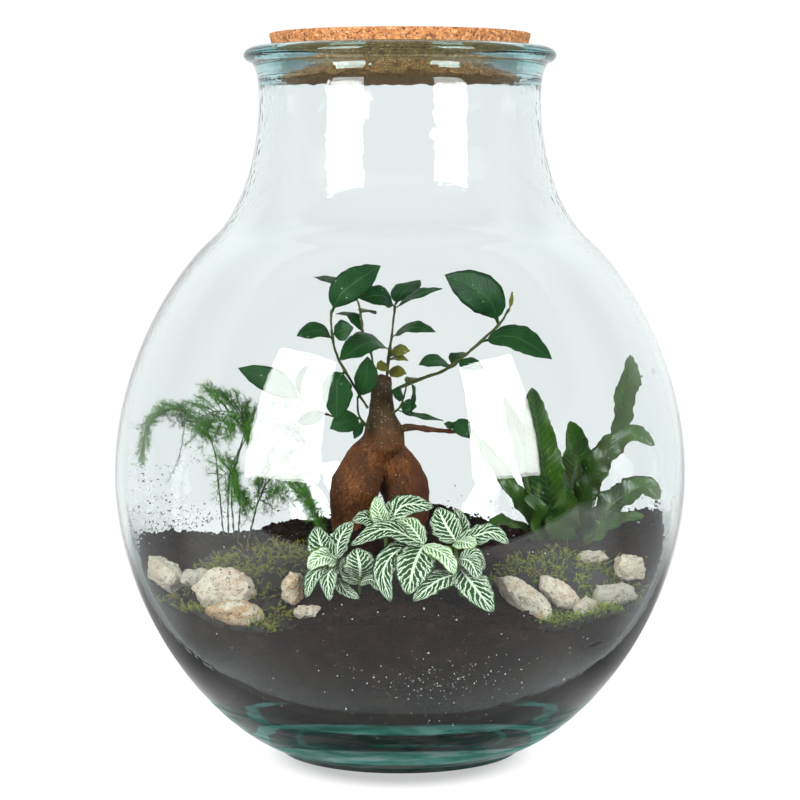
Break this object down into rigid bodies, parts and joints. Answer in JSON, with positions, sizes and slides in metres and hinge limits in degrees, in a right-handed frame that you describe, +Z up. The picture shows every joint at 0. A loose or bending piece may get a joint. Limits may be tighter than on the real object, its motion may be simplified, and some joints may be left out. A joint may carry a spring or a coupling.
{
  "type": "glass plant terrarium",
  "caption": "Round-bellied clear glass jar with a wide neck and tapered cork stopper, planted with a small ficus, ferns, fittonia, moss and stones on dark soil.",
  "frame": {"origin": "middle of the foot, on the surface the jar stands on", "axes": "+Z up along the jar's axis, -Y is the front with the low leafy plant and the stones, +X is the side of the nest fern"},
  "size_m": [0.332, 0.332, 0.417],
  "materials": {
    "glass": "clear recycled glass with a faint blue-green tint, glossy",
    "cork": "pressed cork granules, matte",
    "soil": "moist dark potting soil, crumbly and matte",
    "bark": "smooth brown bark with pale specks, satin",
    "ficus_leaf": "leathery dark green leaves, glossy",
    "plume": "fine soft green needles, matte",
    "nest_fern": "waved strap fronds, glossy",
    "fittonia": "green leaves with a dense pale net of veins, satin",
    "moss": "stringy olive moss, matte",
    "stone": "rough pale beige stone with ochre and dark pits, matte"
  },
  "bodies": {
    "root": {"glass_jar": "glass", "cork_stopper": "cork", "stone_left_long": "stone", "stone_left_grey": "stone", "stone_left_pointed": "stone", "stone_left_ochre": "stone", "stone_left_small": "stone", "stone_left_buried": "stone", "stone_right_long": "stone", "stone_right_oval": "stone", "stone_right_wedge": "stone", "stone_right_grey": "stone", "stone_right_tall": "stone", "stone_right_back": "stone", "stone_right_low": "stone", "ficus_trunk": "bark", "ficus_shoot_high_left": "ficus_leaf", "ficus_shoot_left": "ficus_leaf", "ficus_shoot_far_left": "ficus_leaf", "ficus_shoot_middle": "ficus_leaf", "ficus_shoot_right": "ficus_leaf", "ficus_shoot_low_left": "ficus_leaf", "ficus_shoot_low_right": "ficus_leaf", "ficus_twig_leaf": "ficus_leaf", "asparagus_frond_far_left": "plume", "asparagus_frond_high_left": "plume", "asparagus_frond_back": "plume", "asparagus_frond_right": "plume", "asparagus_frond_low": "plume", "nest_fern_front_tall": "nest_fern", "nest_fern_back": "nest_fern", "nest_fern_right_arched": "nest_fern", "nest_fern_right_high": "nest_fern", "nest_fern_right_broad": "nest_fern", "nest_fern_right_low": "nest_fern", "nest_fern_left_arched": "nest_fern", "nest_fern_front_curled": "nest_fern", "nest_fern_front_broad": "nest_fern", "nest_fern_left_low": "nest_fern", "nest_fern_back_left": "nest_fern", "fittonia_stem_centre": "fittonia", "fittonia_stem_back": "fittonia", "fittonia_stem_right": "fittonia", "fittonia_stem_low_right": "fittonia", "fittonia_stem_left": "fittonia", "fittonia_stem_inner_left": "fittonia", "moss_mat_left": "moss", "moss_mat_right": "moss", "soil_bed": "soil"}
  },
  "joints": []
}
